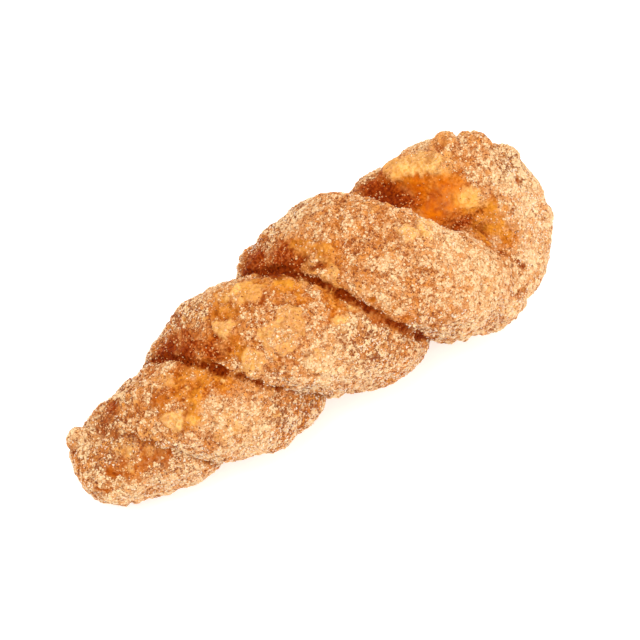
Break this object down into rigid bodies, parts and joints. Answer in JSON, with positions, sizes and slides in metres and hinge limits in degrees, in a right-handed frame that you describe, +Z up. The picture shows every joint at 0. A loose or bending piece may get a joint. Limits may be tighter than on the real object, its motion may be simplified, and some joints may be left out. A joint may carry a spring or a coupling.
{
  "type": "twist doughnut",
  "caption": "Fried dough rope folded in half and twisted on itself, with a closed loop at one end and pinched ends at the other, rolled in cinnamon sugar.",
  "frame": {"origin": "the middle of the doughnut's footprint, on the surface it lies on", "axes": "+X along the twist, from the pinched ends to the loop; +Y across it; +Z up"},
  "size_m": [0.1554, 0.0602, 0.0506],
  "materials": {
    "sugared_crust": "golden brown fried crust under a rough coat of cinnamon sugar"
  },
  "bodies": {
    "root": {"twisted_dough": "sugared_crust"}
  },
  "joints": []
}
